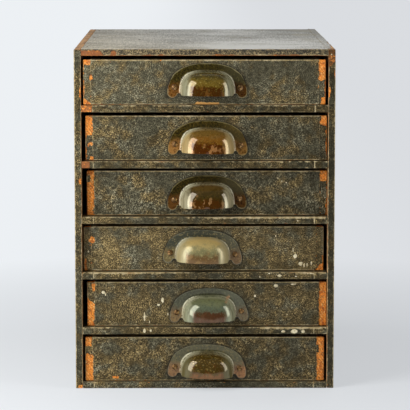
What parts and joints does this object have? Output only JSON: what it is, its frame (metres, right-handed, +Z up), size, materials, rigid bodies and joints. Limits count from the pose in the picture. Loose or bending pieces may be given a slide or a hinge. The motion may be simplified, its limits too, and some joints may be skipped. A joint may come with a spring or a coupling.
{
  "type": "drawer cabinet",
  "caption": "Upright table-top cabinet of shallow sliding drawers for letters and stationery, in worn dark book cloth, with pressed brass cup pulls.",
  "frame": {"origin": "middle of the carcass's underside, on the surface that it stands on", "axes": "+Z up, -Y out of the drawer fronts, +X to the right as seen from the front"},
  "size_m": [0.258, 0.4014, 0.34],
  "materials": {
    "covered_board": "thin board covered in greenish-black book cloth, speckled and worn to tan and orange at the edges",
    "bare_board": "bare softwood board, darkened with age",
    "aged_brass": "pressed sheet brass with an old dark lacquer, worn and tarnished",
    "screw_brass": "tarnished turned brass"
  },
  "bodies": {
    "carcass": {"left_side": "covered_board", "right_side": "covered_board", "top_board": "covered_board", "bottom_board": "covered_board", "back_board": "bare_board", "shelf_1": "covered_board", "shelf_2": "covered_board", "shelf_3": "covered_board", "shelf_4": "covered_board", "shelf_5": "covered_board"},
    "drawer_1": {"drawer_1_front": "covered_board", "drawer_1_left_side": "bare_board", "drawer_1_right_side": "bare_board", "drawer_1_back": "bare_board", "drawer_1_bottom": "bare_board", "drawer_1_pull": "aged_brass", "drawer_1_left_screw": "screw_brass", "drawer_1_right_screw": "screw_brass"},
    "drawer_2": {"drawer_2_front": "covered_board", "drawer_2_left_side": "bare_board", "drawer_2_right_side": "bare_board", "drawer_2_back": "bare_board", "drawer_2_bottom": "bare_board", "drawer_2_pull": "aged_brass", "drawer_2_left_screw": "screw_brass", "drawer_2_right_screw": "screw_brass"},
    "drawer_3": {"drawer_3_front": "covered_board", "drawer_3_left_side": "bare_board", "drawer_3_right_side": "bare_board", "drawer_3_back": "bare_board", "drawer_3_bottom": "bare_board", "drawer_3_pull": "aged_brass", "drawer_3_left_screw": "screw_brass", "drawer_3_right_screw": "screw_brass"},
    "drawer_4": {"drawer_4_front": "covered_board", "drawer_4_left_side": "bare_board", "drawer_4_right_side": "bare_board", "drawer_4_back": "bare_board", "drawer_4_bottom": "bare_board", "drawer_4_pull": "aged_brass", "drawer_4_left_screw": "screw_brass", "drawer_4_right_screw": "screw_brass"},
    "drawer_5": {"drawer_5_front": "covered_board", "drawer_5_left_side": "bare_board", "drawer_5_right_side": "bare_board", "drawer_5_back": "bare_board", "drawer_5_bottom": "bare_board", "drawer_5_pull": "aged_brass", "drawer_5_left_screw": "screw_brass", "drawer_5_right_screw": "screw_brass"},
    "drawer_6": {"drawer_6_front": "covered_board", "drawer_6_left_side": "bare_board", "drawer_6_right_side": "bare_board", "drawer_6_back": "bare_board", "drawer_6_bottom": "bare_board", "drawer_6_pull": "aged_brass", "drawer_6_left_screw": "screw_brass", "drawer_6_right_screw": "screw_brass"}
  },
  "joints": [
    {"name": "drawer_1_slide", "type": "slide", "parent": "carcass", "child": "drawer_1", "axis": [0, -1, 0], "range_m": [-0.0133, 0.27]},
    {"name": "drawer_2_slide", "type": "slide", "parent": "carcass", "child": "drawer_2", "axis": [0, -1, 0], "range_m": [-0.0102, 0.27]},
    {"name": "drawer_3_slide", "type": "slide", "parent": "carcass", "child": "drawer_3", "axis": [0, -1, 0], "range_m": [-0.0039, 0.27]},
    {"name": "drawer_4_slide", "type": "slide", "parent": "carcass", "child": "drawer_4", "axis": [0, -1, 0], "range_m": [-0.0062, 0.27]},
    {"name": "drawer_5_slide", "type": "slide", "parent": "carcass", "child": "drawer_5", "axis": [0, -1, 0], "range_m": [-0.0086, 0.27]},
    {"name": "drawer_6_slide", "type": "slide", "parent": "carcass", "child": "drawer_6", "axis": [0, -1, 0], "range_m": [-0.0109, 0.27]}
  ]
}
